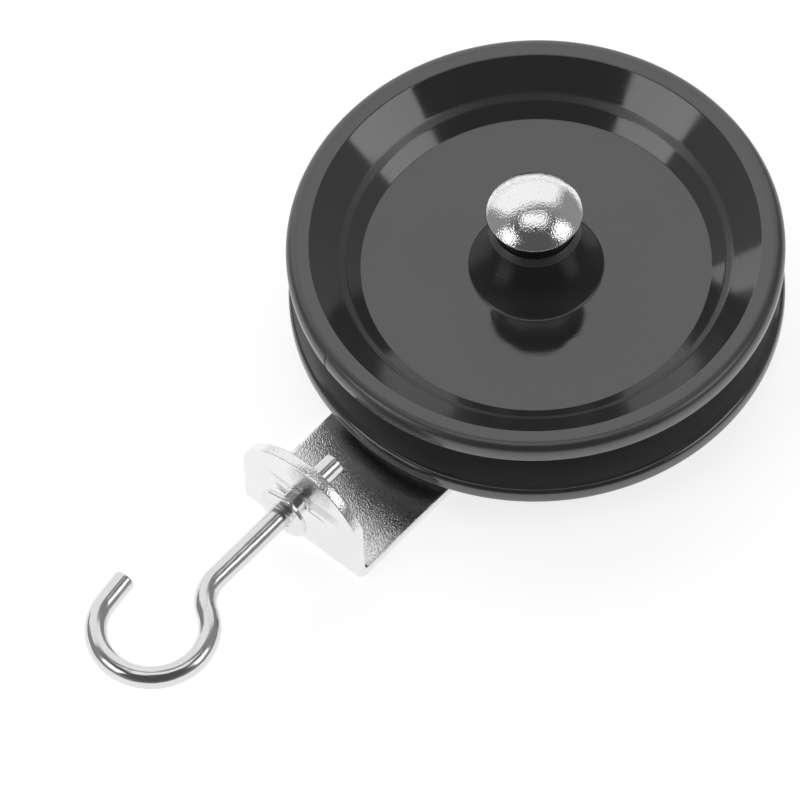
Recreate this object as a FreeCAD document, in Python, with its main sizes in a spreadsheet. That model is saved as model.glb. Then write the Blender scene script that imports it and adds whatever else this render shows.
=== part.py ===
"""Single sheave block: a grooved plastic wheel riveted to a bent steel strap, with a swivel hook.

Frame: millimetres. The origin is on the axle, at the back face of the strap. +Z points along the
axle towards the dome of the rivet, and the hook points along -Y.
"""

import FreeCAD, Part
import os
import re

import Sketcher

DIMENSIONS = {
    # Strap: a bent strip with a tab that stands up at the hook's end
    "strip_width": 15.0,
    "strip_thickness": 1.2,
    "tab_reach": 35.8,              # from the axle to the outer face of the tab
    "tab_shoulder": 8.5,            # height where the tab's round top begins
    "tab_top_radius": 8.1,
    "bend_radius": 0.5,             # inside of the bend
    # Sheave
    "rim_radius": 25.0,
    "sheave_width": 10.1,
    "sheave_lift": 2.0,             # gap between the strap and the sheave's rim
    "rim_inner_radius": 22.7,
    "web_radius": 17.6,
    "dish_depth": 4.1,
    "rim_rounding": 1.2,
    "lip_rounding": 0.6,
    "dish_rounding": 0.25,
    "groove_mouth": 5.8,
    "groove_floor_radius": 19.4,
    "groove_floor_width": 2.8,
    "groove_rounding": 1.7,
    "flange_split": 1.9,            # from the rope line to where each flange's own piece begins
    "hub_base_radius": 6.8,
    "hub_flare_radius": 12.0,       # the hub's side is hollow
    "hub_neck_radius": 4.75,
    "hub_neck_rise": 6.4,           # above the front of the web
    "hub_top_radius": 4.25,
    "hub_top_rise": 7.0,
    # Axle: a dome-headed rivet in a sleeve that the sheave runs on
    "rivet_radius": 2.0,
    "sleeve_radius": 3.0,
    "running_gap": 0.05,
    "end_play": 0.1,
    "tail_radius": 2.6,
    "tail_depth": 0.6,
    "back_washer_radius": 5.0,
    "back_washer_thickness": 0.5,
    "head_spacer_radius": 4.1,
    "head_spacer_thickness": 1.8,
    "head_radius": 4.8,
    "head_rim": 0.35,
    "dome_rise": 1.95,
    # Hook: one bent wire, with a collar in front of the tab and a retainer behind it
    "wire_radius": 1.15,
    "wire_start": 30.4,             # from the axle to the cut end behind the tab
    "wire_chamfer": 0.2,
    "neck_radius": 4.2,
    "eye_radius": 5.6,              # to the middle of the wire
    "eye_offset": 0.8,
    "eye_reach": 56.5,              # from the axle to the centre of the eye
    "tip_length": 3.2,
    "tip_reach": 54.1,
    "collar_radius": 2.9,
    "collar_thickness": 0.5,
    "barrel_radius": 1.35,
    "barrel_length": 2.05,
    "retainer_radius": 1.9,
    "retainer_thickness": 0.9,
}

BACK_RIM = "strip_thickness + sheave_lift"
FRONT_RIM = BACK_RIM + " + sheave_width"
ROPE_LINE = BACK_RIM + " + sheave_width / 2"
WEB_BACK = BACK_RIM + " + dish_depth"
WEB_FRONT = FRONT_RIM + " - dish_depth"
HUB_BACK = "strip_thickness + back_washer_thickness + running_gap"
HUB_FRONT = WEB_FRONT + " + hub_top_rise"
SLEEVE_END = HUB_FRONT + " + end_play"
HEAD_SEAT = SLEEVE_END + " + head_spacer_thickness"
HEAD_TOP = HEAD_SEAT + " + head_rim + dome_rise"
DOME_RADIUS = "(head_radius * head_radius + dome_rise * dome_rise) / (2 * dome_rise)"
BORE_RADIUS = "sleeve_radius + running_gap"
BACK_SPLIT = ROPE_LINE + " - flange_split"
FRONT_SPLIT = ROPE_LINE + " + flange_split"
PAST_RIM = "rim_radius + rim_rounding"
TAB_BACK = "tab_reach - strip_thickness"

ALONG_HOOK = FreeCAD.Rotation(FreeCAD.Vector(1, 0, 0), 90)      # turns local +Z to -Y

doc = FreeCAD.newDocument("single_sheave_block")
parts = []


# ---------------------------------------------------------------- the sheet and its formulas

def make_sheet():
    sheet = doc.addObject("Spreadsheet::Sheet", "Sizes")
    for row, (alias, size) in enumerate(DIMENSIONS.items(), start=1):
        sheet.set(f"A{row}", alias)
        sheet.set(f"B{row}", str(size))
        sheet.setAlias(f"B{row}", alias)
    doc.recompute()
    return sheet


def from_sheet(formula):
    """Writes a formula of plain aliases the way the document refers to the sheet's cells."""
    def refer(match):
        word = match.group()
        return "Sizes." + word if word in DIMENSIONS else word
    return re.sub(r"[a-z_]+", refer, formula)


def number(formula):
    return float(sizes.evalExpression(from_sheet(formula)))


# ---------------------------------------------------------------- sketches

def make_body(name):
    body = doc.addObject("PartDesign::Body", name)
    body.Label = name
    parts.append(body)
    return body


def make_sketch(body, name, role, lift=None):
    """A sketch on one of the body's own planes, lifted off it along the plane's normal."""
    sketch = body.newObject("Sketcher::SketchObject", name)
    plane = next(item for item in body.Origin.OriginFeatures if item.Role == role)
    sketch.AttachmentSupport = [(plane, "")]
    sketch.MapMode = "FlatFace"
    if lift:
        sketch.setExpression("AttachmentOffset.Base.z", from_sheet(lift))
    return sketch


def constrain(sketch, kind, *elements, to):
    index = sketch.addConstraint(Sketcher.Constraint(kind, *elements, number(to)))
    sketch.setExpression(f"Constraints[{index}]", from_sheet(to))


def fix_point(sketch, side, vertex, across, up):
    """Ties a point to the sketch's axes by two formulas."""
    for kind, formula, axis in (("DistanceX", across, -2), ("DistanceY", up, -1)):
        if number(formula) == 0:
            sketch.addConstraint(Sketcher.Constraint("PointOnObject", side, vertex, axis))
        elif number(formula) > 0:
            constrain(sketch, kind, -1, 1, side, vertex, to=formula)
        else:
            constrain(sketch, kind, side, vertex, -1, 1, to=f"-({formula})")


def arc_about(centre, start, end):
    """The arc that turns anticlockwise about its centre from start to end."""
    circle = Part.Circle(centre, FreeCAD.Vector(0, 0, 1), (start - centre).Length)
    return Part.ArcOfCircle(circle, circle.parameter(start), circle.parameter(end))


def bulging_arc(start, end, radius):
    """The shorter arc from start to end that bulges to the right of the way from start to end."""
    chord = end - start
    left = FreeCAD.Vector(-chord.y, chord.x, 0).normalize()
    depth = (radius ** 2 - (chord.Length / 2) ** 2) ** 0.5
    return arc_about((start + end) / 2 + left * depth, start, end)


def first_vertex(geometry, point):
    return 1 if geometry.StartPoint.isEqual(point, 1e-6) else 2


def draw_outline(sketch, corners, bulges):
    """A closed outline through the corners. bulges gives the radius of each side that is an arc."""
    points = [FreeCAD.Vector(number(across), number(up), 0) for across, up in corners]
    starts = []
    for side, start in enumerate(points):
        end = points[(side + 1) % len(points)]
        if side in bulges:
            sketch.addGeometry(bulging_arc(start, end, number(bulges[side])))
        else:
            sketch.addGeometry(Part.LineSegment(start, end))
        starts.append(first_vertex(sketch.Geometry[side], start))
    for side, (across, up) in enumerate(corners):
        before = side - 1 if side else len(corners) - 1
        sketch.addConstraint(
            Sketcher.Constraint("Coincident", before, 3 - starts[before], side, starts[side]))
        fix_point(sketch, side, starts[side], across, up)
    for side, radius in bulges.items():
        constrain(sketch, "Radius", side, to=radius)


def draw_circle(sketch, across, up, radius):
    centre = FreeCAD.Vector(number(across), number(up), 0)
    side = sketch.addGeometry(Part.Circle(centre, FreeCAD.Vector(0, 0, 1), number(radius)))
    fix_point(sketch, side, 3, across, up)
    constrain(sketch, "Radius", side, to=radius)


# ---------------------------------------------------------------- features

def make_pad(body, name, sketch, length):
    pad = body.newObject("PartDesign::Pad", name)
    pad.Profile = sketch
    pad.setExpression("Length", from_sheet(length))
    doc.recompute()


def drill(body, name, sketch, towards="both"):
    """Cuts a sketch through everything above its plane, below it, or on both sides."""
    volume = body.Shape.Volume
    pocket = body.newObject("PartDesign::Pocket", name)
    pocket.Profile = sketch
    pocket.Type = "ThroughAll"
    if towards == "both":
        pocket.SideType = "Symmetric"
    pocket.Reversed = towards == "above"
    doc.recompute()
    if not body.Shape.Volume < volume:
        raise RuntimeError(name + " cuts nothing")


def drill_rings(body, name, height, radii, towards):
    """Cuts the disc or ring between the circles away, from one height."""
    sketch = make_sketch(body, name + "_outline", "XY_Plane", lift=height)
    for radius in radii:
        draw_circle(sketch, "0", "0", radius)
    drill(body, name, sketch, towards)


def ring_edges(shape, rings):
    """Names the circular edges about Z that lie at the given radii and heights."""
    wanted = [(number(radius), number(height)) for radius, height in rings]
    names = []
    for index, edge in enumerate(shape.Edges, start=1):
        curve = edge.Curve
        if isinstance(curve, Part.Circle) and any(
                abs(curve.Radius - radius) < 1e-4 and abs(curve.Center.z - height) < 1e-4
                for radius, height in wanted):
            names.append(f"Edge{index}")
    if len(names) != len(wanted):
        raise RuntimeError(f"found {len(names)} of {len(wanted)} ring edges")
    return names


def line_edges(shape, y, z):
    """Names the straight edges along X at one place."""
    names = []
    for index, edge in enumerate(shape.Edges, start=1):
        ends = [vertex.Point for vertex in edge.Vertexes]
        along_x = all(abs(end.y - number(y)) < 1e-4 and abs(end.z - number(z)) < 1e-4 for end in ends)
        if len(ends) == 2 and along_x:
            names.append(f"Edge{index}")
    if not names:
        raise RuntimeError("found no straight edge")
    return names


def dress(body, kind, name, edges, size):
    """A fillet or chamfer on named edges of the body's last feature."""
    base = body.Tip
    feature = body.newObject("PartDesign::" + kind, name)
    feature.Base = (base, edges)
    feature.setExpression("Radius" if kind == "Fillet" else "Size", from_sheet(size))
    doc.recompute()


def make_turned(name, corners, bulges=None):
    """A body of revolution about its own Z from an outline of (radius, height) corners."""
    body = make_body(name)
    sketch = make_sketch(body, name + "_outline", "XZ_Plane")
    draw_outline(sketch, corners, bulges or {})
    revolution = body.newObject("PartDesign::Revolution", name + "_turned")
    revolution.Profile = sketch
    revolution.ReferenceAxis = (sketch, ["V_Axis"])
    revolution.Angle = 360
    doc.recompute()
    return body


def make_ring(name, inner, outer, low, high):
    return make_turned(name, [(inner, low), (outer, low), (outer, high), (inner, high)])


def lay_along_hook(body):
    """Turns a body made about Z onto the line of the hook's shank."""
    body.Placement = FreeCAD.Placement(FreeCAD.Vector(), ALONG_HOOK)
    body.setExpression("Placement.Base.z", from_sheet(ROPE_LINE))
    doc.recompute()


# ---------------------------------------------------------------- the pieces

def make_wheel_disc(name):
    """The wheel without its hub."""
    groove_low = ROPE_LINE + " - groove_mouth / 2"
    groove_high = ROPE_LINE + " + groove_mouth / 2"
    floor_low = ROPE_LINE + " - groove_floor_width / 2"
    floor_high = ROPE_LINE + " + groove_floor_width / 2"
    body = make_turned(name, [
        ("hub_base_radius", WEB_BACK),
        ("web_radius", WEB_BACK),
        ("rim_inner_radius", BACK_RIM),
        ("rim_radius", BACK_RIM),
        ("rim_radius", groove_low),
        ("groove_floor_radius", floor_low),
        ("groove_floor_radius", floor_high),
        ("rim_radius", groove_high),
        ("rim_radius", FRONT_RIM),
        ("rim_inner_radius", FRONT_RIM),
        ("web_radius", WEB_FRONT),
        ("hub_base_radius", WEB_FRONT),
    ])
    rounds = [
        ("groove_floor", "groove_rounding",
         [("groove_floor_radius", floor_low), ("groove_floor_radius", floor_high)]),
        ("lips", "lip_rounding", [("rim_radius", groove_low), ("rim_radius", groove_high)]),
        ("rims", "rim_rounding", [("rim_radius", BACK_RIM), ("rim_radius", FRONT_RIM)]),
        ("dish_edges", "dish_rounding",
         [("rim_inner_radius", BACK_RIM), ("rim_inner_radius", FRONT_RIM)]),
    ]
    for place, size, rings in rounds:
        dress(body, "Fillet", f"{name}_{place}", ring_edges(body.Shape, rings), size)
    return body


def make_sheave():
    """One moulding in four pieces, so that its groove and its dished front stay open."""
    core = make_wheel_disc("sheave")
    around_core = ["web_radius", PAST_RIM]
    drill_rings(core, "front_flange_seat", FRONT_SPLIT, around_core, "above")
    drill_rings(core, "back_flange_seat", BACK_SPLIT, around_core, "below")
    front = make_wheel_disc("sheave_front_flange")
    drill_rings(front, "behind_front_flange", FRONT_SPLIT, [PAST_RIM], "below")
    back = make_wheel_disc("sheave_back_flange")
    drill_rings(back, "before_back_flange", BACK_SPLIT, [PAST_RIM], "above")
    make_turned("sheave_hub", [
        (BORE_RADIUS, HUB_FRONT),
        ("hub_top_radius", HUB_FRONT),
        ("hub_neck_radius", WEB_FRONT + " + hub_neck_rise"),
        ("hub_base_radius", WEB_FRONT),
        ("hub_base_radius", HUB_BACK),
        (BORE_RADIUS, HUB_BACK),
    ], bulges={2: "hub_flare_radius"})


def make_axle():
    make_ring("axle_sleeve", "rivet_radius", "sleeve_radius", "strip_thickness", SLEEVE_END)
    make_ring("back_washer", "sleeve_radius", "back_washer_radius",
              "strip_thickness", "strip_thickness + back_washer_thickness")
    make_ring("head_spacer", "rivet_radius", "head_spacer_radius", SLEEVE_END, HEAD_SEAT)
    make_turned("axle_rivet", [
        ("0", "0"),
        ("tail_radius", "0"),
        ("rivet_radius", "tail_depth"),
        ("rivet_radius", HEAD_SEAT),
        ("head_radius", HEAD_SEAT),
        ("head_radius", HEAD_SEAT + " + head_rim"),
        ("0", HEAD_TOP),
    ], bulges={5: DOME_RADIUS})


def make_strap():
    body = make_body("strap")
    half_width = "strip_width / 2"

    strip = make_sketch(body, "strip_outline", "XY_Plane")
    draw_outline(strip, [("-" + half_width, "-(tab_reach)"), (half_width, "-(tab_reach)"),
                         (half_width, "0"), ("-" + half_width, "0")], {})
    make_pad(body, "strip", strip, "strip_thickness")
    far_end = make_sketch(body, "far_end_outline", "XY_Plane")
    draw_circle(far_end, "0", "0", half_width)
    make_pad(body, "far_end", far_end, "strip_thickness")

    tab = make_sketch(body, "tab_outline", "XZ_Plane", lift=TAB_BACK)
    draw_outline(tab, [("-" + half_width, "0"), (half_width, "0"),
                       (half_width, "tab_shoulder"), ("-" + half_width, "tab_shoulder")],
                 bulges={2: "tab_top_radius"})
    make_pad(body, "tab", tab, "strip_thickness")

    inside = line_edges(body.Shape, f"-({TAB_BACK})", "strip_thickness")
    dress(body, "Fillet", "bend_inside", inside, "bend_radius")
    outside = line_edges(body.Shape, "-(tab_reach)", "0")
    dress(body, "Fillet", "bend_outside", outside, "bend_radius + strip_thickness")

    rivet_hole = make_sketch(body, "rivet_hole_outline", "XY_Plane")
    draw_circle(rivet_hole, "0", "0", "rivet_radius")
    drill(body, "rivet_hole", rivet_hole)
    countersink = ring_edges(body.Shape, [("rivet_radius", "0")])
    dress(body, "Chamfer", "rivet_countersink", countersink, "tail_depth")

    hook_hole = make_sketch(body, "hook_hole_outline", "XZ_Plane")
    draw_circle(hook_hole, "0", ROPE_LINE, "wire_radius + running_gap")
    drill(body, "hook_hole", hook_hole)


def draw_hook_line(sketch):
    """The middle of the wire: shank, neck, eye and a short straight tip, each tangent to the last."""
    neck, eye = number("neck_radius"), number("eye_radius")
    eye_centre = FreeCAD.Vector(-number("eye_offset"), -number("eye_reach"), 0)
    rise = ((neck + eye) ** 2 - (neck - eye_centre.x) ** 2) ** 0.5
    neck_centre = FreeCAD.Vector(neck, eye_centre.y + rise, 0)
    neck_start = FreeCAD.Vector(0, neck_centre.y, 0)
    neck_end = eye_centre + (neck_centre - eye_centre) * (eye / (neck + eye))
    eye_end = eye_centre + FreeCAD.Vector(-eye, -eye / 8, 0).normalize() * eye
    tip = FreeCAD.Vector(eye_end.x - eye / 16, -number("tip_reach"), 0)

    shank = sketch.addGeometry(
        Part.LineSegment(FreeCAD.Vector(0, -number("wire_start"), 0), neck_start))
    neck_arc = sketch.addGeometry(arc_about(neck_centre, neck_start, neck_end))
    eye_arc = sketch.addGeometry(arc_about(eye_centre, eye_end, neck_end))
    tip_line = sketch.addGeometry(Part.LineSegment(eye_end, tip))

    joints = [(shank, neck_arc, neck_start), (neck_arc, eye_arc, neck_end),
              (eye_arc, tip_line, eye_end)]
    for before, after, point in joints:
        sketch.addConstraint(Sketcher.Constraint(
            "Tangent", before, first_vertex(sketch.Geometry[before], point),
            after, first_vertex(sketch.Geometry[after], point)))
    fix_point(sketch, shank, 1, "0", "-(wire_start)")
    sketch.addConstraint(Sketcher.Constraint("Vertical", shank))
    constrain(sketch, "Radius", neck_arc, to="neck_radius")
    constrain(sketch, "Radius", eye_arc, to="eye_radius")
    fix_point(sketch, eye_arc, 3, "-(eye_offset)", "-(eye_reach)")
    constrain(sketch, "Distance", tip_line, to="tip_length")
    constrain(sketch, "DistanceY", tip_line, 2, -1, 1, to="tip_reach")


def make_hook():
    body = make_body("hook")
    line = make_sketch(body, "hook_line", "XY_Plane")
    draw_hook_line(line)
    section = make_sketch(body, "hook_section", "XZ_Plane", lift="wire_start")
    draw_circle(section, "0", "0", "wire_radius")
    doc.recompute()
    wire = body.newObject("PartDesign::AdditivePipe", "hook_wire")
    wire.Profile = section
    wire.Spine = (line, [f"Edge{index}" for index in range(1, len(line.Shape.Edges) + 1)])
    doc.recompute()
    cut_ends = [f"Edge{index}" for index, edge in enumerate(body.Shape.Edges, start=1)
                if bounds_flat_end(body.Shape, edge)]
    dress(body, "Chamfer", "cut_ends", cut_ends, "wire_chamfer")
    body.setExpression("Placement.Base.z", from_sheet(ROPE_LINE))
    doc.recompute()


def bounds_flat_end(shape, edge):
    return any(isinstance(face.Surface, Part.Plane)
               and any(edge.isSame(side) for side in face.Edges) for face in shape.Faces)


def make_hook_rings():
    """The flanged collar in front of the tab, and the retainer staked on the wire behind it."""
    barrel_end = "tab_reach + running_gap"
    flange_back = barrel_end + " + barrel_length"
    flange_front = flange_back + " + collar_thickness"
    collar = make_turned("hook_collar", [
        ("wire_radius", barrel_end),
        ("barrel_radius", barrel_end),
        ("barrel_radius", flange_back),
        ("collar_radius", flange_back),
        ("collar_radius", flange_front),
        ("wire_radius", flange_front),
    ])
    lay_along_hook(collar)
    retainer_front = TAB_BACK + " - running_gap"
    retainer = make_ring("hook_retainer", "wire_radius", "retainer_radius",
                         retainer_front + " - retainer_thickness", retainer_front)
    lay_along_hook(retainer)


# ---------------------------------------------------------------- checks and export

def check_document():
    for item in doc.Objects:
        if "Invalid" in item.State or "Error" in item.State:
            raise RuntimeError(item.Name + " failed: " + ", ".join(item.State))
    for part in parts:
        if part.Shape.isNull() or not part.Shape.isValid() or len(part.Shape.Solids) != 1:
            raise RuntimeError(part.Label + " has no valid single solid")


def export_parts():
    os.makedirs("parts", exist_ok=True)
    for part in parts:
        part.Shape.exportStep(f"parts/{part.Label}.step")
        box = part.Shape.optimalBoundingBox()
        print(f"{part.Label:14s} {part.Shape.Volume:9.1f} mm3  x {box.XMin:7.2f} {box.XMax:7.2f}"
              f"  y {box.YMin:7.2f} {box.YMax:7.2f}  z {box.ZMin:6.2f} {box.ZMax:6.2f}")


sizes = make_sheet()
make_sheave()
make_axle()
make_strap()
make_hook()
make_hook_rings()
doc.recompute()
check_document()
export_parts()
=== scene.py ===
"""The looks of a single sheave block: a gloss black wheel riveted to a plated strap with a swivel
wire hook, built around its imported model."""

import math

import bmesh
import bpy
from mathutils import Matrix, Vector, noise


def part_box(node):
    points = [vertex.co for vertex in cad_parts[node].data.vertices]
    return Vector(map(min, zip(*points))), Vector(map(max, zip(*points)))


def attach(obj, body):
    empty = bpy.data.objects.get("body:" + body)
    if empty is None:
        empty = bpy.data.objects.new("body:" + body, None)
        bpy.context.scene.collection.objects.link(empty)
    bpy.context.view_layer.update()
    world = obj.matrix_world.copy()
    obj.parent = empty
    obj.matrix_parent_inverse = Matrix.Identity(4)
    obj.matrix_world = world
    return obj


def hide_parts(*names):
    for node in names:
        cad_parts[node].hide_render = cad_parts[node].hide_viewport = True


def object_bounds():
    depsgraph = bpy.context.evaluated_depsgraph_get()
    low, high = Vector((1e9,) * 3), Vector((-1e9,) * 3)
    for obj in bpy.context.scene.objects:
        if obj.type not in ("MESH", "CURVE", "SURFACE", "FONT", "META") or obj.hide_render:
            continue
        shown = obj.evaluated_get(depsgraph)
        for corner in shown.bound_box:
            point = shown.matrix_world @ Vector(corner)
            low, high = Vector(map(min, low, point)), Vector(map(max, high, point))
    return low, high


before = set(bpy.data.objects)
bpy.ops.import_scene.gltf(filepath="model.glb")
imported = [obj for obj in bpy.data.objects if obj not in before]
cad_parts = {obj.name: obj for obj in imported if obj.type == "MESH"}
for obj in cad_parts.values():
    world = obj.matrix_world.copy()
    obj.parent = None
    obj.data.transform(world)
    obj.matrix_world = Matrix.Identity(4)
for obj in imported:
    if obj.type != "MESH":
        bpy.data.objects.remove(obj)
CAD_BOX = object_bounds()

MM = 0.001


# ---------------------------------------------------------------- places, in millimetres

def corners(node):
    """The low and the high corner of a node's box."""
    low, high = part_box(node)
    return [value / MM for value in low], [value / MM for value in high]


_, FLANGE_HIGH = corners("sheave_front_flange")
BACK_LOW, _ = corners("sheave_back_flange")
HUB_LOW, HUB_HIGH = corners("sheave_hub")
STRAP_LOW, STRAP_HIGH = corners("strap")
_, RIVET_HIGH = corners("axle_rivet")
_, SPACER_HIGH = corners("head_spacer")
_, SLEEVE_HIGH = corners("axle_sleeve")
COLLAR_LOW, COLLAR_HIGH = corners("hook_collar")
HOOK_LOW, HOOK_HIGH = corners("hook")

RIM = FLANGE_HIGH[0]
ROPE_LINE = (FLANGE_HIGH[2] + BACK_LOW[2]) / 2
HALF_MOUTH = 2.9
FLOOR_RADIUS = 19.4
HALF_FLOOR = 1.4
HUB_BASE = 6.8
DISH_DEPTH = 4.1
WEB_FRONT = FLANGE_HIGH[2] - DISH_DEPTH
WEB_BACK = BACK_LOW[2] + DISH_DEPTH

STRIP = 1.2
BEND_OUTER = 1.7
BEND_LENGTH = BEND_OUTER * math.pi / 2
STRAIGHT = STRAP_HIGH[1] - STRAP_LOW[1] - BEND_OUTER
TAB_SHOULDER = 8.5

WIRE_RADIUS = 1.15
WIRE_STEP = 0.2
SHANK_HEIGHT = (HOOK_LOW[2] + HOOK_HIGH[2]) / 2


# ---------------------------------------------------------------- outlines

def rounded(outline, steps=6):
    """A closed outline of (across, up, rounding) corners, with each corner drawn as its arc."""
    points = []
    for index, (across, up, rounding) in enumerate(outline):
        here = Vector((across, up))
        before = Vector(outline[index - 1][:2]) - here
        after = Vector(outline[(index + 1) % len(outline)][:2]) - here
        turn = before.angle(after) if before.length and after.length else math.pi
        if not rounding or turn > math.pi - 0.01:
            points.append(here)
            continue
        reach = rounding / math.tan(turn / 2)
        reach = min(reach, before.length * 0.49, after.length * 0.49)
        radius = reach * math.tan(turn / 2)
        start = here + before.normalized() * reach
        middle = here + (before.normalized() + after.normalized()).normalized() * (
            radius / math.sin(turn / 2))
        sweep = math.pi - turn
        side = 1 if before.x * after.y - before.y * after.x < 0 else -1
        for step in range(steps + 1):
            spin = Matrix.Rotation(side * sweep * step / steps, 2)
            points.append(middle + spin @ (start - middle))
    return points


def held(points, longest=1.0, near=0.1):
    """The closed outline with extra points close to the ends of its long straight sides."""
    result = []
    for index, point in enumerate(points):
        result.append(point)
        way = points[(index + 1) % len(points)] - point
        if way.length > longest:
            result.append(point + way.normalized() * near)
            count = int(way.length / longest)
            result += [point + way * (step / count) for step in range(1, count)]
            result.append(point + way - way.normalized() * near)
    return result


def turn_between(first, last):
    """The angle from the first direction to the last, positive to the left."""
    return math.atan2(first.x * last.y - first.y * last.x, first.dot(last))


def arc_between(start, end, radius, count):
    """Points between two ends of the arc that bulges to the right of the way there."""
    start, end = Vector(start), Vector(end)
    chord = end - start
    left = Vector((-chord.y, chord.x)).normalized()
    middle = (start + end) / 2 + left * math.sqrt(radius ** 2 - (chord.length / 2) ** 2)
    first = start - middle
    sweep = turn_between(first, end - middle)
    return [middle + Matrix.Rotation(sweep * step / count, 2) @ first for step in range(1, count)]


# ---------------------------------------------------------------- meshes

def make_piece(name, mesh, body, material, slot, *nodes):
    """Places a mesh as the looks of one or more nodes, riding on their body."""
    piece = bpy.data.objects.new(name, mesh)
    bpy.context.scene.collection.objects.link(piece)
    mesh.materials.append(material)
    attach(piece, body)
    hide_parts(*nodes)
    return piece


def finish_mesh(name, build, sharp=35):
    """Turns the build into a smooth mesh with sharp edges above the angle in degrees."""
    bmesh.ops.recalc_face_normals(build, faces=build.faces)
    mesh = bpy.data.meshes.new(name)
    build.to_mesh(mesh)
    build.free()
    mesh.shade_smooth()
    mesh.set_sharp_from_angle(angle=math.radians(sharp))
    return mesh


def about_axle(across, around, up):
    return Vector((across * math.cos(around), across * math.sin(around), up)) * MM


def about_shank(across, around, up):
    """The same turned point laid along the hook's shank: up runs towards -Y."""
    return Vector((across * math.cos(around), -up, across * math.sin(around) + SHANK_HEIGHT)) * MM


def lathe(name, outline, angles, place=about_axle, shape=None):
    """Turns a closed outline about an axis. shape may move a point before it is placed."""
    build = bmesh.new()
    rings = []
    for point in outline:
        if abs(point.x) < 1e-6:
            rings.append([build.verts.new(place(0, 0, point.y))] * len(angles))
            continue
        ring = []
        for angle in angles:
            across, up = shape(point, angle) if shape else (point.x, point.y)
            ring.append(build.verts.new(place(across, angle, up)))
        rings.append(ring)
    for ring, following in zip(rings, rings[1:] + rings[:1]):
        for index in range(len(angles)):
            after = (index + 1) % len(angles)
            loop = [ring[index], ring[after], following[after], following[index]]
            distinct = list(dict.fromkeys(loop))
            if len(distinct) > 2:
                build.faces.new(distinct)
    return finish_mesh(name, build)


def evenly(count):
    """Angles all the way round."""
    return [2 * math.pi * step / count for step in range(count)]


def bump_at(angle, centre, width):
    """A smooth bump round one place on a circle."""
    away = (angle - centre + math.pi) % (2 * math.pi) - math.pi
    return math.exp(-(away / width) ** 2)


# ---------------------------------------------------------------- materials

def put(tree, kind, inputs=None, **settings):
    """Adds a shader node. An input is either another node's socket or a constant."""
    node = tree.nodes.new("ShaderNode" + kind)
    for name, value in settings.items():
        setattr(node, name, value)
    for socket, value in (inputs or {}).items():
        if isinstance(value, bpy.types.NodeSocket):
            tree.links.new(value, node.inputs[socket])
        else:
            node.inputs[socket].default_value = value
    return node


def maths(tree, operation, *values):
    return put(tree, "Math", dict(enumerate(values)), operation=operation).outputs[0]


def fade(tree, value, low, high, to_low=0.0, to_high=1.0):
    """Carries a value from one range to another, smoothly and held at its ends."""
    return put(tree, "MapRange", {"Value": value, "From Min": low, "From Max": high,
                                  "To Min": to_low, "To Max": to_high},
               interpolation_type="SMOOTHSTEP").outputs["Result"]


def mix(tree, factor, first, second):
    return put(tree, "Mix", {0: factor, 6: first, 7: second}, data_type="RGBA").outputs[2]


def cloud(tree, place, scale, detail=3.0, roughness=0.55, stretch=None):
    if stretch:
        place = put(tree, "Mapping", {"Vector": place, "Scale": stretch}).outputs[0]
    return put(tree, "TexNoise", {"Vector": place, "Scale": scale, "Detail": detail,
                                  "Roughness": roughness}).outputs["Fac"]


def specks(tree, place, scale, size, share):
    """Small separate dots, of which a noise keeps only a share."""
    dots = put(tree, "TexVoronoi", {"Vector": place, "Scale": scale}).outputs["Distance"]
    dot = fade(tree, dots, size * 0.5, size, 1.0, 0.0)
    kept = fade(tree, cloud(tree, place, scale * 0.23, 2.0), share, share + 0.02)
    return maths(tree, "MULTIPLY", dot, kept)


def relief(tree, layers):
    """Stacks bump layers of (height, depth in metres) and returns the last normal."""
    normal = None
    for height, depth in layers:
        inputs = {"Height": height, "Strength": 1.0, "Distance": depth}
        if normal:
            inputs["Normal"] = normal
        normal = put(tree, "Bump", inputs).outputs[0]
    return normal


def start_material(name):
    material = bpy.data.materials.new(name)
    material.use_nodes = True
    tree = material.node_tree
    tree.nodes.clear()
    place = put(tree, "TexCoord").outputs["Object"]
    return material, tree, place


def end_material(tree, colour, roughness, normal, metal=0.0, ior=1.5, **fixed):
    inputs = {"Base Color": colour, "Roughness": roughness, "Normal": normal,
              "Metallic": metal, "IOR": ior}
    inputs.update(fixed)
    shader = put(tree, "BsdfPrincipled", inputs)
    put(tree, "OutputMaterial", {"Surface": shader.outputs[0]})


def grey(value, blue=1.0):
    return (value, value, value * blue, 1.0)


def turned_coordinates(tree, place, along):
    """Coordinates whose noise runs round the axle in long streaks."""
    flat = put(tree, "VectorMath", {0: place, 1: (1, 1, 0)}, operation="MULTIPLY").outputs[0]
    reach = put(tree, "VectorMath", {0: flat}, operation="LENGTH").outputs["Value"]
    heading = put(tree, "VectorMath", {0: flat}, operation="NORMALIZE").outputs[0]
    parts = put(tree, "SeparateXYZ", {0: place})
    across = put(tree, "CombineXYZ", {0: reach, 1: parts.outputs[2]}).outputs[0]
    across = put(tree, "VectorMath", {0: across, 3: along}, operation="SCALE").outputs[0]
    return put(tree, "VectorMath", {0: across, 1: heading}, operation="ADD").outputs[0], reach


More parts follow.
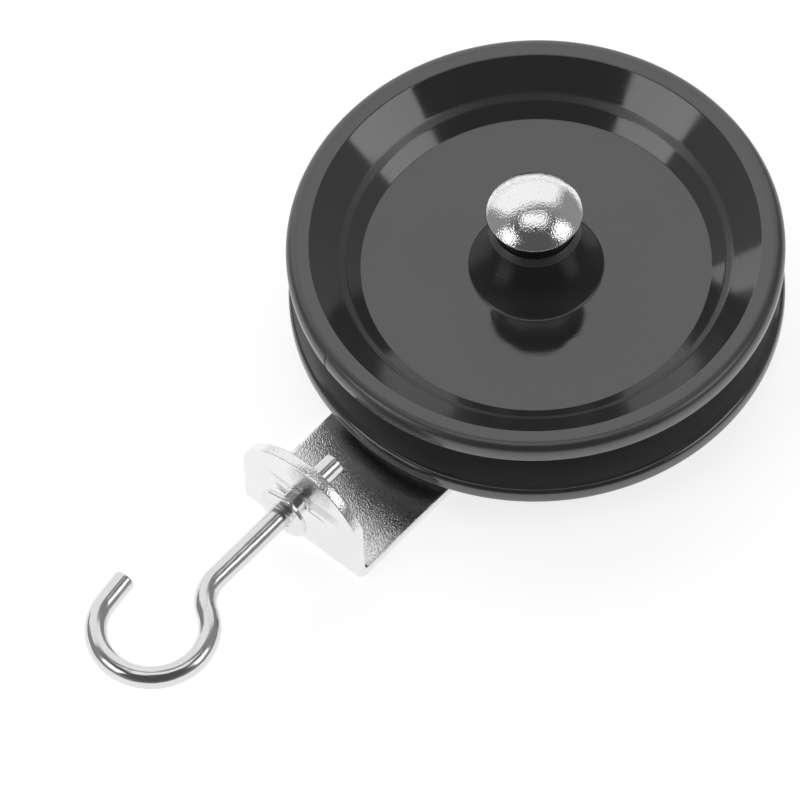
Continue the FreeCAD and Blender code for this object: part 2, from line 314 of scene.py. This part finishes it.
def gloss_plastic(name):
    """Moulded black plastic with faint streaks round the axle, dust and fluff."""
    material, tree, place = start_material(name)
    streaked, reach = turned_coordinates(tree, place, 2200.0)
    streaks = cloud(tree, streaked, 3.0, 4.0, 0.65)
    patches = cloud(tree, place, 120.0, 3.0)
    peel = cloud(tree, place, 420.0, 2.0)
    dust = specks(tree, place, 800.0, 0.055, 0.56)
    fluff = specks(tree, place, 2600.0, 0.10, 0.60)
    dirt = maths(tree, "MAXIMUM", dust, maths(tree, "MULTIPLY", fluff, 0.6))
    black = mix(tree, patches, grey(0.034, 1.02), grey(0.040, 1.01))
    colour = mix(tree, maths(tree, "MULTIPLY", dirt, 0.5), black, grey(0.20))
    worn = fade(tree, streaks, 0.50, 0.72, 0.055, 0.16)
    soft = maths(tree, "ADD", worn, fade(tree, patches, 0.35, 0.75, 0.0, 0.05))
    roughness = maths(tree, "ADD", soft, maths(tree, "MULTIPLY", dirt, 0.4))
    height = put(tree, "SeparateXYZ", {0: place}).outputs[2]
    from_line = maths(tree, "ABSOLUTE", maths(tree, "SUBTRACT", height, ROPE_LINE * MM))
    # The groove is rougher and greyer than the faces, with fine marks round it
    in_groove = fade(tree, reach, (RIM - 0.6) * MM, (RIM - 0.9) * MM)
    in_groove = maths(tree, "MULTIPLY", in_groove, fade(
        tree, from_line, (HALF_MOUTH - 0.1) * MM, (HALF_MOUTH - 0.4) * MM))
    in_groove = maths(tree, "MULTIPLY", in_groove, fade(
        tree, reach, (FLOOR_RADIUS - 0.5) * MM, (FLOOR_RADIUS - 0.2) * MM))
    # The hub and the roundings of the rim are duller than the faces too
    on_hub = fade(tree, reach, (HUB_BASE + 0.2) * MM, (HUB_BASE + 0.05) * MM)
    on_rounding = maths(
        tree, "MULTIPLY", fade(tree, reach, (RIM - 1.5) * MM, (RIM - 0.9) * MM),
        fade(tree, from_line, (HALF_MOUTH + 0.5) * MM, (HALF_MOUTH + 0.9) * MM))
    for where, rougher in ((in_groove, 0.28), (on_rounding, 0.22), (on_hub, 0.2)):
        roughness = maths(tree, "ADD", roughness, maths(tree, "MULTIPLY", where, rougher))
    marks = maths(tree, "MULTIPLY", streaks, fade(tree, in_groove, 0, 1, 0.12, 1.0))
    matt = maths(tree, "MAXIMUM", in_groove, on_rounding)
    grain = maths(tree, "MULTIPLY", cloud(tree, place, 5000.0, 2.0), matt)
    normal = relief(tree, [(peel, 1.2e-6), (marks, 12e-6), (grain, 14e-6), (dirt, 4e-6)])
    colour = mix(tree, maths(tree, "MULTIPLY", in_groove, 0.5), colour, grey(0.08))
    end_material(tree, colour, roughness, normal, ior=1.9)
    return material


def plated_steel(name, grain, depth, colour, smooth):
    """Bright plating over a grained steel surface."""
    material, tree, place = start_material(name)
    pebbles = cloud(tree, place, grain, 2.0, 0.5)
    dimples = put(tree, "TexVoronoi", {"Vector": place, "Scale": grain}).outputs["Distance"]
    waves = cloud(tree, place, grain * 0.06, 2.0)
    patches = cloud(tree, place, 260.0, 3.0)
    pits = specks(tree, place, grain * 0.35, 0.12, 0.55)
    bright = mix(tree, patches, grey(colour - 0.05), grey(colour + 0.04))
    surface = mix(tree, maths(tree, "MULTIPLY", pits, 0.55), bright, grey(0.22))
    surface = mix(tree, fade(tree, pebbles, 0.42, 0.28, 0.0, 0.3), surface, grey(0.40))
    roughness = fade(tree, patches, 0.3, 0.7, smooth, smooth + 0.05)
    roughness = maths(tree, "ADD", roughness, maths(tree, "MULTIPLY", pits, 0.25))
    normal = relief(tree, [(waves, depth * 0.5), (pebbles, depth), (dimples, depth)])
    end_material(tree, surface, roughness, normal, metal=1.0)
    return material


def drawn_wire(name):
    """Bright plating over drawn wire: fine lines run along it."""
    material, tree, place = start_material(name)
    wire = put(tree, "UVMap", uv_map="wire").outputs[0]
    lines = cloud(tree, wire, 1.0, 3.0, 0.6, stretch=(34.0, 0.35, 1.0))
    wide = cloud(tree, wire, 1.0, 2.0, 0.5, stretch=(7.0, 0.12, 1.0))
    grain = cloud(tree, place, 3600.0, 2.0)
    patches = cloud(tree, place, 300.0, 3.0)
    pits = specks(tree, place, 2400.0, 0.10, 0.6)
    bright = mix(tree, patches, grey(0.70), grey(0.78))
    surface = mix(tree, maths(tree, "MULTIPLY", pits, 0.6), bright, grey(0.18))
    surface = mix(tree, fade(tree, lines, 0.60, 0.78, 0.0, 0.35), surface, grey(0.42))
    roughness = maths(tree, "ADD", fade(tree, lines, 0.3, 0.7, 0.09, 0.2),
                      maths(tree, "MULTIPLY", pits, 0.3))
    normal = relief(tree, [(wide, 20e-6), (lines, 10e-6), (grain, 2.2e-6)])
    end_material(tree, surface, roughness, normal, metal=1.0)
    return material


def dull_metal(name, light, dark, smooth):
    """A turned metal that is seen only through gaps."""
    material, tree, place = start_material(name)
    streaked, _ = turned_coordinates(tree, place, 1500.0)
    streaks = cloud(tree, streaked, 3.0, 3.0)
    patches = cloud(tree, place, 500.0, 3.0)
    surface = mix(tree, fade(tree, patches, 0.3, 0.75), light, dark)
    roughness = fade(tree, streaks, 0.3, 0.7, smooth, smooth + 0.2)
    normal = relief(tree, [(streaks, 8e-6), (patches, 3e-6)])
    end_material(tree, surface, roughness, normal, metal=1.0)
    return material


def matt_plastic(name):
    """The dark spacer, turned and a little dusty."""
    material, tree, place = start_material(name)
    streaked, _ = turned_coordinates(tree, place, 1800.0)
    streaks = cloud(tree, streaked, 2.0, 3.0)
    patches = cloud(tree, place, 700.0, 3.0)
    dust = specks(tree, place, 1900.0, 0.09, 0.56)
    black = mix(tree, patches, grey(0.007), grey(0.014))
    colour = mix(tree, maths(tree, "MULTIPLY", dust, 0.4), black, grey(0.22))
    roughness = fade(tree, streaks, 0.3, 0.7, 0.22, 0.4)
    normal = relief(tree, [(streaks, 10e-6), (patches, 4e-6)])
    end_material(tree, colour, roughness, normal)
    return material


def pale_floor(name):
    """A pale ground with a glow of its own, so that shadows on it stay light."""
    material, tree, place = start_material(name)
    patches = cloud(tree, place, 14.0, 3.0)
    grain = cloud(tree, place, 1200.0, 2.0)
    colour = mix(tree, patches, grey(0.50), grey(0.53))
    roughness = fade(tree, patches, 0.3, 0.7, 0.65, 0.75)
    normal = relief(tree, [(grain, 4e-6)])
    end_material(tree, colour, roughness, normal,
                 **{"Emission Color": grey(1.0), "Emission Strength": 0.77})
    return material


PLASTIC = gloss_plastic("gloss_black_plastic")
DOME_PLATING = plated_steel("dome_plating", 5400.0, 13e-6, 0.89, 0.04)
STRAP_PLATING = plated_steel("strap_plating", 6200.0, 15e-6, 0.85, 0.06)
RING_PLATING = plated_steel("ring_plating", 6000.0, 4e-6, 0.80, 0.10)
WIRE = drawn_wire("drawn_wire")
SPACER = matt_plastic("spacer_black")
BRASS = dull_metal("sleeve_brass", (0.72, 0.50, 0.22, 1), (0.42, 0.28, 0.12, 1), 0.22)
WASHER = dull_metal("washer_steel", grey(0.60), grey(0.32), 0.25)


# ---------------------------------------------------------------- the wheel

def make_wheel():
    hub_neck, hub_top, neck_rise, flare_radius = 4.75, 4.25, 6.4, 12.0
    web, rim_inner, running_gap = 17.6, 22.7, 0.05
    rim_round, lip_round, floor_round = 1.2, 0.6, 1.7
    bore = SLEEVE_HIGH[0] + running_gap
    flare = [(*point, 0) for point in arc_between(
        (hub_neck, WEB_FRONT + neck_rise), (HUB_BASE, WEB_FRONT), flare_radius, 16)][::-1]
    outline = [
        (bore, HUB_LOW[2], 0.12), (HUB_BASE, HUB_LOW[2], 0.2), (HUB_BASE, WEB_BACK, 0.25),
        (web, WEB_BACK, 0.2), (rim_inner, BACK_LOW[2], 0.25), (RIM, BACK_LOW[2], rim_round),
        (RIM, ROPE_LINE - HALF_MOUTH, lip_round),
        (FLOOR_RADIUS, ROPE_LINE - HALF_FLOOR, floor_round),
        (FLOOR_RADIUS, ROPE_LINE + HALF_FLOOR, floor_round),
        (RIM, ROPE_LINE + HALF_MOUTH, lip_round),
        (RIM, FLANGE_HIGH[2], rim_round), (rim_inner, FLANGE_HIGH[2], 0.25),
        (web, WEB_FRONT, 0.12), (HUB_BASE, WEB_FRONT, 0.3), *flare,
        (hub_neck, WEB_FRONT + neck_rise, 0.15), (hub_top, HUB_HIGH[2], 0.12),
        (bore, HUB_HIGH[2], 0.12)]
    # Two parting lines cross the groove, and a gate mark nicks the front rim
    seams = [math.radians(-50), math.radians(130)]
    seam_height, seam_width = 0.07, 0.004
    nick = math.radians(-106)
    nick_depth, nick_width = 0.16, 0.006
    fine = [centre + math.radians(0.12 * step) for centre in (*seams, nick)
            for step in range(-8, 9)]
    angles = sorted(set(evenly(300)) | {angle % (2 * math.pi) for angle in fine})

    def shape(point, angle):
        across, up = point
        wander = noise.noise(Vector((math.cos(angle), math.sin(angle), up * 0.3)) * 2.0)
        in_groove = abs(up - ROPE_LINE) < HALF_MOUTH and across > FLOOR_RADIUS - 0.2
        if across > web:
            across += 0.012 * wander
        if in_groove:
            across += seam_height * max(bump_at(angle, seam, seam_width) for seam in seams)
        if across > RIM - 0.35 and up > ROPE_LINE + HALF_MOUTH - 0.2:
            across -= nick_depth * bump_at(angle, nick, nick_width)
        return across, up

    mesh = lathe("sheave_wheel", held(rounded(outline, 8)), angles, shape=shape)
    return make_piece("sheave_wheel", mesh, "wheel", PLASTIC, "sheave_plastic",
                      "sheave", "sheave_front_flange", "sheave_back_flange", "sheave_hub")


# ---------------------------------------------------------------- the axle

def make_rivet():
    tail, shank, sink = 2.6, 2.0, 0.6
    head, seat, rim = RIVET_HIGH[0], SPACER_HIGH[2], 0.35
    rise = RIVET_HIGH[2] - seat - rim
    radius = (head ** 2 + rise ** 2) / (2 * rise)
    crown = [(*point, 0) for point in arc_between(
        (head, seat + rim), (0, RIVET_HIGH[2]), radius, 30)]
    outline = [(0, 0, 0), (tail, 0, 0.08), (shank, sink, 0.05), (shank, seat, 0.05),
               (head - 0.05, seat, 0.1), (head, seat + rim, 0.09), *crown, (0, RIVET_HIGH[2], 0)]

    def shape(point, angle):
        across, up = point
        if across > head - 0.3:
            across += 0.03 * noise.noise(Vector((math.cos(angle) * 3, math.sin(angle) * 3, up)))
        return across, up

    mesh = lathe("rivet_dome", held(rounded(outline, 5)), evenly(192), shape=shape)
    return make_piece("rivet_dome", mesh, "cheek", DOME_PLATING, "rivet_plating", "axle_rivet")


def make_ring(name, node, body, material, slot, inner, rounding, place=about_axle):
    """A plain ring that fills its node's box."""
    low, high = corners(node)
    ends = (low[2], high[2]) if place is about_axle else (-high[1], -low[1])
    outline = [(inner, ends[0], rounding), (high[0], ends[0], rounding),
               (high[0], ends[1], rounding), (inner, ends[1], rounding)]
    mesh = lathe(name, held(rounded(outline, 5)), evenly(128), place)
    return make_piece(name, mesh, body, material, slot, node)


def make_collar():
    """A barrel against the tab with a thin disc at its front, round the hook's shank."""
    bore, barrel, disc, thickness = WIRE_RADIUS, 1.35, COLLAR_HIGH[0], 0.5
    start, end = -COLLAR_HIGH[1], -COLLAR_LOW[1]
    outline = [(bore, start, 0.02), (barrel + 0.12, start, 0.05),
               (barrel + 0.12, start + 0.22, 0.05), (barrel, start + 0.3, 0.04),
               (barrel, end - thickness, 0.12), (disc, end - thickness, 0.08),
               (disc, end, 0.16), (barrel + 0.3, end, 0.05), (barrel + 0.2, end - 0.12, 0.05),
               (barrel, end - 0.12, 0.03), (barrel - 0.05, end, 0.03), (bore, end, 0.02)]

    def shape(point, angle):
        across, up = point
        if across > disc - 0.4:
            across += 0.04 * noise.noise(Vector((math.cos(angle), math.sin(angle), 0)) * 2.5)
        return across, up

    mesh = lathe("shank_collar", held(rounded(outline, 5), 0.6, 0.05), evenly(128),
                 about_shank, shape)
    return make_piece("shank_collar", mesh, "swivel_hook", RING_PLATING, "hook_plating",
                      "hook_collar")


# ---------------------------------------------------------------- the strap

def strap_blank():
    """Half of the flat blank's outline, from its far end to its tab's top.

    Each point is (along, half width)."""
    half = STRAP_HIGH[0]
    points = []
    for step in range(33):
        angle = math.pi / 2 * step / 32
        points.append((half - half * math.cos(angle), half * math.sin(angle)))
    shoulder = TAB_SHOULDER - BEND_OUTER
    end = half
    for length, count in ((STRAIGHT - half, 40), (BEND_LENGTH, 12), (shoulder, 8)):
        points += [(end + length * step / count, half) for step in range(1, count + 1)]
        end += length
    top = STRAP_HIGH[2] - TAB_SHOULDER
    radius = (half ** 2 + top ** 2) / (2 * top)
    start = math.asin(half / radius)
    for step in range(1, 33):
        angle = start * (1 - step / 32)
        points.append((end + top - radius + radius * math.cos(angle), radius * math.sin(angle)))
    return points


def fold(along, across, height):
    """Lays a point of the flat blank where the bent strap has it."""
    if along <= STRAIGHT:
        return Vector((across, STRAP_HIGH[1] - along, height)) * MM
    if along <= STRAIGHT + BEND_LENGTH:
        angle = (along - STRAIGHT) / BEND_OUTER
        reach = BEND_OUTER - height
        return Vector((across, STRAP_LOW[1] + BEND_OUTER - reach * math.sin(angle),
                       BEND_OUTER - reach * math.cos(angle))) * MM
    return Vector((across, STRAP_LOW[1] + height,
                   BEND_OUTER + along - STRAIGHT - BEND_LENGTH)) * MM


def inset_outline(points, amount):
    """The half outline moved inwards. Its two ends stay on the middle line."""
    moved = []
    for index, (along, across) in enumerate(points):
        before = Vector(points[max(index - 1, 0)])
        after = Vector(points[min(index + 1, len(points) - 1)])
        way = (after - before).normalized()
        if index == 0:
            way = Vector((0, 1))
        if index == len(points) - 1:
            way = Vector((0, -1))
        moved.append((along + way.y * amount, max(across - way.x * amount, 0)))
    return moved


def cut_away(mesh, *cutters):
    """The mesh without what the cutters' meshes fill."""
    holder = bpy.data.objects.new("uncut", mesh)
    bpy.context.scene.collection.objects.link(holder)
    for cutter in cutters:
        tool = bpy.data.objects.new(cutter.name, cutter)
        bpy.context.scene.collection.objects.link(tool)
        cut = holder.modifiers.new(cutter.name, "BOOLEAN")
        cut.object, cut.operation, cut.solver = tool, "DIFFERENCE", "EXACT"
    made = bpy.data.meshes.new_from_object(
        holder.evaluated_get(bpy.context.evaluated_depsgraph_get()))
    for cut in list(holder.modifiers):
        bpy.data.objects.remove(cut.object)
    bpy.data.objects.remove(holder)
    return made


def strap_levels():
    """(inset, height) of the rows round the strap's edge, from its front face to its back."""
    rolled, sheared, steps = 0.16, 0.10, 4
    quarter = [math.pi / 2 * step / steps for step in range(steps + 1)]
    return [(0.5, STRIP),
            *((rolled * (1 - math.sin(angle)), STRIP - rolled * (1 - math.cos(angle)))
              for angle in quarter),
            (0.0, STRIP * 0.45),
            *((sheared * (1 - math.cos(angle)), sheared * (1 - math.sin(angle)))
              for angle in quarter),
            (0.5, 0.0)]


def make_strap():
    blank = strap_blank()
    build = bmesh.new()
    rows = []
    for inset, height in strap_levels():
        half = inset_outline(blank, inset)
        row = []
        for side in (1, -1):
            order = range(len(half)) if side == 1 else range(len(half) - 2, 0, -1)
            for index in order:
                along, across = half[index]
                if inset < 0.5:
                    across += 0.035 * noise.noise(Vector((index * 0.35, side * 5.0, 1.7)))
                across = max(across, 0) if 0 < index < len(half) - 1 else 0
                row.append(build.verts.new(fold(along, side * across, height)))
        rows.append(row)
    for row, following in zip(rows, rows[1:]):
        for index in range(len(row)):
            after = (index + 1) % len(row)
            build.faces.new([row[index], row[after], following[after], following[index]])
    # The front and the back face are strips from one side to the other
    for row in (rows[0], rows[-1]):
        for index in range(len(blank) - 1):
            loop = [row[-index], row[index], row[index + 1], row[-(index + 1)]]
            build.faces.new(list(dict.fromkeys(loop)))
    bmesh.ops.remove_doubles(build, verts=build.verts, dist=1e-8)
    mesh = finish_mesh("strap_plate", build, 40)

    sink, bore, sink_depth, shank_bore = 2.62, 2.03, 0.6, 1.2
    rivet_hole = lathe("rivet_hole", rounded([
        (0, -1, 0), (sink, -1, 0), (sink, 0, 0), (bore, sink_depth, 0), (bore, 3, 0), (0, 3, 0)]),
        evenly(96))
    hook_hole = lathe("hook_hole", rounded([
        (0, 33, 0), (shank_bore, 33, 0), (shank_bore, 38, 0), (0, 38, 0)]), evenly(96), about_shank)
    mesh = cut_away(mesh, rivet_hole, hook_hole)
    return make_piece("strap_plate", mesh, "cheek", STRAP_PLATING, "strap_plating", "strap")


# ---------------------------------------------------------------- the hook

def hook_line():
    """Points along the middle of the wire: (place, way forward, whether it is in the neck)."""
    neck, eye, tip_length = 4.2, 5.6, 3.2
    start = Vector((0, -30.4))
    eye_centre = Vector((-0.8, -56.5))
    rise = math.sqrt((neck + eye) ** 2 - (neck - eye_centre.x) ** 2)
    neck_centre = Vector((neck, eye_centre.y + rise))
    neck_end = eye_centre + (neck_centre - eye_centre) * (eye / (neck + eye))
    eye_end_way = Vector((-eye, -eye / 8)).normalized()
    line = []

    def run(first, last):
        way = (last - first).normalized()
        count = max(int((last - first).length / WIRE_STEP), 2)
        line.extend((first + (last - first) * (step / count), way, False)
                    for step in range(count))

    def turn(centre, radius, first, sweep):
        count = max(int(abs(sweep) * radius / WIRE_STEP), 2)
        for step in range(count):
            spoke = Matrix.Rotation(sweep * step / count, 2) @ first
            way = Vector((-spoke.y, spoke.x)).normalized() * (1 if sweep > 0 else -1)
            line.append((centre + spoke, way, radius == neck))

    run(start, Vector((0, neck_centre.y)))
    first = Vector((-neck, 0))
    turn(neck_centre, neck, first, turn_between(first, neck_end - neck_centre))
    first = neck_end - eye_centre
    sweep = turn_between(first, eye_end_way * eye)
    turn(eye_centre, eye, first, sweep if sweep < 0 else sweep - 2 * math.pi)
    eye_end = eye_centre + eye_end_way * eye
    heading = Vector((eye_end_way.y, -eye_end_way.x))
    tip = eye_end + heading * tip_length
    run(eye_end, tip)
    line.append((tip, heading, False))
    return line


def make_hook():
    sides, chamfer, chamfer_steps = 48, 0.16, 4
    crimp_depth, crimp_length = 0.13, 0.55
    line = hook_line()
    neck_places = [index for index, (_, _, in_neck) in enumerate(line) if in_neck]
    crimp = neck_places[int(len(neck_places) * 0.45)]
    build = bmesh.new()
    uv_layer = build.loops.layers.uv.new("wire")

    def unevenness(index, side, angle):
        """How far the wire's side stands out of round, and in at the neck's crimp."""
        waver = noise.noise(Vector((math.cos(angle) * 2, math.sin(angle) * 2, index * 0.02)))
        near = math.exp(-((index - crimp) * WIRE_STEP / crimp_length) ** 2)
        facing = max(math.cos(angle - math.pi), 0) ** 3
        rough = 0.6 + 0.8 * noise.noise(Vector((index * 0.9, side * 0.7, 3.1)))
        return 0.012 * waver - crimp_depth * near * facing * rough

    def add_ring(point, way, radius, index=None):
        """A ring round the wire. One with an index along the wire is uneven."""
        ring = []
        for side in range(sides):
            angle = 2 * math.pi * side / sides
            reach = radius + (0 if index is None else unevenness(index, side, angle))
            offset = Vector((way.y, -way.x)) * (reach * math.cos(angle))
            ring.append(build.verts.new(Vector((
                point.x + offset.x, point.y + offset.y,
                SHANK_HEIGHT + reach * math.sin(angle))) * MM))
        return ring

    def close_end(end_ring, point, way, inward):
        """Chamfers a cut end and closes it with a slightly uneven face."""
        for vertex in end_ring:
            vertex.co += Vector((*(inward * chamfer), 0)) * MM
        made = [end_ring]
        for step in range(1, chamfer_steps + 1):
            angle = math.pi / 2 * step / chamfer_steps
            made.append(add_ring(point + inward * (chamfer * (1 - math.sin(angle))), way,
                                 WIRE_RADIUS - chamfer * (1 - math.cos(angle))))
        for share in (0.80, 0.55, 0.30, 0.1):
            radius = WIRE_RADIUS * share
            ring = add_ring(point, way, radius)
            for number, vertex in enumerate(ring):
                bulge = 0.05 * noise.noise(Vector((radius * 3, number * 0.5, 7.7)))
                vertex.co += Vector((*(way * bulge), 0)) * MM
            made.append(ring)
        for ring, following in zip(made, made[1:]):
            for side in range(sides):
                after = (side + 1) % sides
                build.faces.new([ring[side], ring[after], following[after], following[side]])
        build.faces.new(made[-1])

    rings, lengths = [], []
    travelled, last_point = 0.0, line[0][0]
    for index, (point, way, _) in enumerate(line):
        travelled += (point - last_point).length
        last_point = point
        rings.append(add_ring(point, way, WIRE_RADIUS, index))
        lengths.append(travelled)
    first_point, first_way, _ = line[0]
    last_point, last_way, _ = line[-1]
    close_end(rings[0], first_point, first_way, first_way)
    close_end(rings[-1], last_point, last_way, -last_way)
    for index in range(len(rings) - 1):
        ring, following = rings[index], rings[index + 1]
        for side in range(sides):
            after = (side + 1) % sides
            face = build.faces.new([ring[side], ring[after], following[after], following[side]])
            around = (side / sides, (side + 1) / sides, (side + 1) / sides, side / sides)
            along = (lengths[index], lengths[index], lengths[index + 1], lengths[index + 1])
            for loop, u, v in zip(face.loops, around, along):
                loop[uv_layer].uv = (u, v)
    mesh = finish_mesh("hook_wire", build, 40)
    return make_piece("hook_wire", mesh, "swivel_hook", WIRE, "hook_plating", "hook")


make_wheel()
make_rivet()
make_ring("hub_spacer", "head_spacer", "cheek", SPACER, "spacer_plastic", 2.0, 0.1)
make_ring("axle_bush", "axle_sleeve", "cheek", BRASS, "sleeve_brass", 2.0, 0.08)
make_ring("plain_washer", "back_washer", "cheek", WASHER, "washer_steel", 3.0, 0.08)
make_ring("shank_retainer", "hook_retainer", "swivel_hook", RING_PLATING, "hook_plating",
          WIRE_RADIUS, 0.12, about_shank)
make_collar()
make_strap()
make_hook()


# ---------------------------------------------------------------- the studio

CAMERA_TURN = math.radians(42.4)
CAMERA_RISE = math.radians(56.1)
CAMERA_ROLL = math.radians(-1.75)
BACK = Vector((math.sin(CAMERA_TURN) * math.cos(CAMERA_RISE),
               -math.cos(CAMERA_TURN) * math.cos(CAMERA_RISE), math.sin(CAMERA_RISE)))
RIGHT = Vector((math.cos(CAMERA_TURN), math.sin(CAMERA_TURN), 0))
UP = BACK.cross(RIGHT)


def make_camera():
    """Stands straight above the web's centre along the view, and turns to the block's middle."""
    lens, distance, block_middle = 448.6, 1.0, (0.4, -21.1)
    place = Vector((0, 0, WEB_FRONT * MM)) + BACK * distance
    aim = Vector((*block_middle, WEB_FRONT)) * MM
    data = bpy.data.cameras.new("camera")
    data.lens = lens
    data.sensor_width = 36
    data.clip_start, data.clip_end = 0.01, 20
    camera = bpy.data.objects.new("camera", data)
    back = (place - aim).normalized()
    up = back.cross(RIGHT * math.cos(CAMERA_ROLL) + UP * math.sin(CAMERA_ROLL)).normalized()
    axes = Matrix((up.cross(back), up, back)).transposed().to_4x4()
    camera.matrix_world = Matrix.Translation(place) @ axes
    bpy.context.scene.collection.objects.link(camera)
    bpy.context.scene.camera = camera


def make_softbox(name, towards, distance, width, height, radiance):
    """A soft panel that faces the block from one direction."""
    block_middle = Vector((0, -0.012, 0.008))
    data = bpy.data.lights.new(name, "AREA")
    data.shape = "RECTANGLE"
    data.size, data.size_y = width, height
    data.energy = radiance * math.pi * width * height
    light = bpy.data.objects.new(name, data)
    towards = towards.normalized()
    light.location = block_middle + towards * distance
    light.rotation_mode = "QUATERNION"
    light.rotation_quaternion = towards.to_track_quat("Z", "Y")
    light.visible_camera = False
    bpy.context.scene.collection.objects.link(light)


def heading(turn_from_back, rise):
    """A direction, its turn measured to the left of straight away from the camera."""
    away = math.atan2(-BACK.y, -BACK.x) + math.radians(turn_from_back)
    rise = math.radians(rise)
    return Vector((math.cos(away) * math.cos(rise), math.sin(away) * math.cos(rise),
                   math.sin(rise)))


def make_surroundings():
    """Mid grey all round, and dark behind the camera."""
    world = bpy.data.worlds.new("studio")
    world.use_nodes = True
    tree = world.node_tree
    background = tree.nodes["Background"]
    place = put(tree, "TexCoord").outputs["Generated"]
    towards = put(tree, "VectorMath", {0: place, 1: BACK}, operation="DOT_PRODUCT")
    level = fade(tree, towards.outputs["Value"], 0.45, 0.85, 0.27, 0.09)
    tree.links.new(level, background.inputs["Strength"])
    background.inputs["Color"].default_value = grey(1.0)
    bpy.context.scene.world = world


def make_studio():
    make_softbox("backdrop", heading(11, 33.5), 0.75, 1.30, 0.88, 0.72)
    make_softbox("overhead", heading(0, 89.5), 0.60, 0.44, 0.25, 0.95)
    make_softbox("left_panel", Vector((-0.318, -0.725, 0.611)), 0.60, 0.26, 0.26, 1.5)
    make_softbox("right_panel", Vector((0.662, 0.337, 0.668)), 0.60, 0.26, 0.26, 1.5)
    make_surroundings()

    floor_gap = 0.00002
    build = bmesh.new()
    bmesh.ops.create_grid(build, x_segments=8, y_segments=8, size=1.5)
    mesh = bpy.data.meshes.new("floor")
    build.to_mesh(mesh)
    build.free()
    floor = bpy.data.objects.new("floor", mesh)
    floor.location.z = CAD_BOX[0][2] - floor_gap
    mesh.materials.append(pale_floor("pale_floor"))
    bpy.context.scene.collection.objects.link(floor)
    bpy.context.scene.view_settings.view_transform = "Standard"


make_camera()
make_studio()
